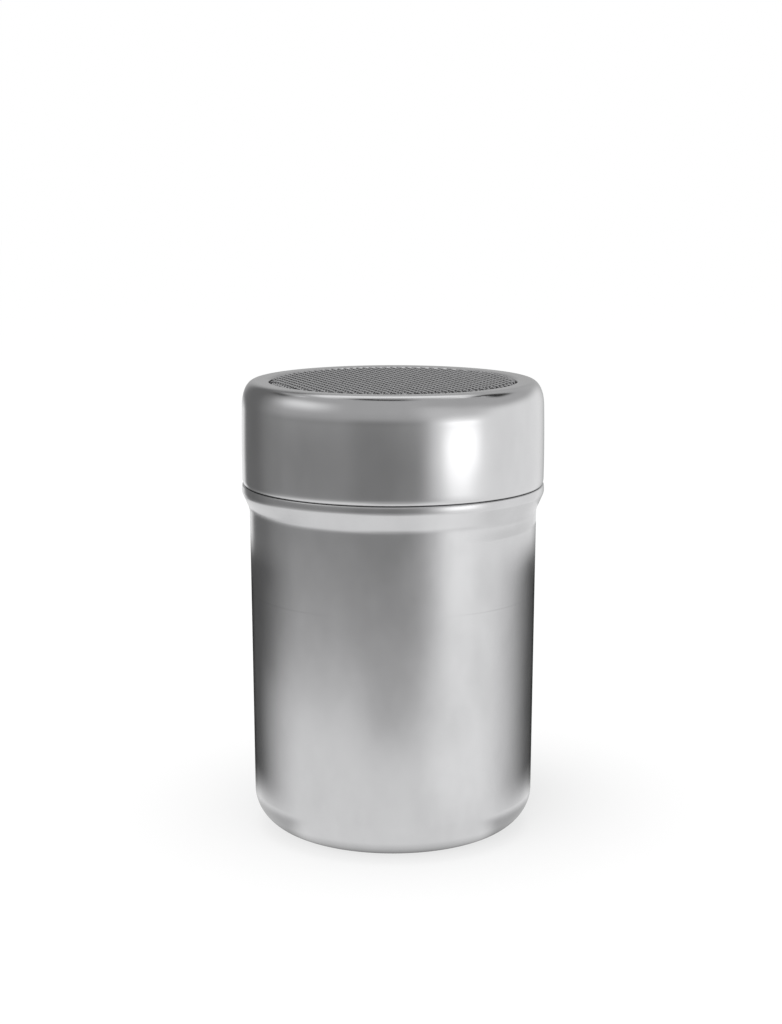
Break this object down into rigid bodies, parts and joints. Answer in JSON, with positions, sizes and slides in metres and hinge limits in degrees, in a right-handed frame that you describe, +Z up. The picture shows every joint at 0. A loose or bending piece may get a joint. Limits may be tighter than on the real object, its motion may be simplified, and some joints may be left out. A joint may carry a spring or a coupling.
{
  "type": "mesh shaker",
  "caption": "Steel shaker for powdered sugar, cocoa or ground spice: a drawn cup with a beaded shoulder and a screw-on lid with a round window of woven wire cloth.",
  "frame": {"origin": "centre of the flat foot ring, on the surface that the shaker stands on", "axes": "+Z up along the shaker's axis, -Y towards the viewer of the picture, +X to that viewer's right"},
  "size_m": [0.0702, 0.0702, 0.1062],
  "materials": {
    "cup_steel": "satin polished stainless steel",
    "lid_steel": "polished stainless steel, softly reflecting",
    "sleeve_steel": "dull stainless steel with a rolled thread",
    "wire_steel": "plain woven stainless wire",
    "frame_steel": "crimped stainless strip"
  },
  "bodies": {
    "cup": {"cup": "cup_steel"},
    "screen": {"screen_frame": "frame_steel", "wire_screen": "wire_steel"},
    "lid": {"lid_shell": "lid_steel", "lid_sleeve": "sleeve_steel"}
  },
  "joints": [
    {"name": "lid_rise", "type": "slide", "parent": "cup", "child": "screen", "axis": [0, 0, 1], "range_m": [0, 0.0125]},
    {"name": "lid_turn", "type": "hinge", "parent": "screen", "child": "lid", "pos_m": [0, 0, 0.09], "axis": [0, 0, 1], "range_deg": [0, 900]}
  ],
  "couplings": [
    {"joint": "lid_rise", "follows": "lid_turn", "m_per_rad": 0.00079577}
  ]
}
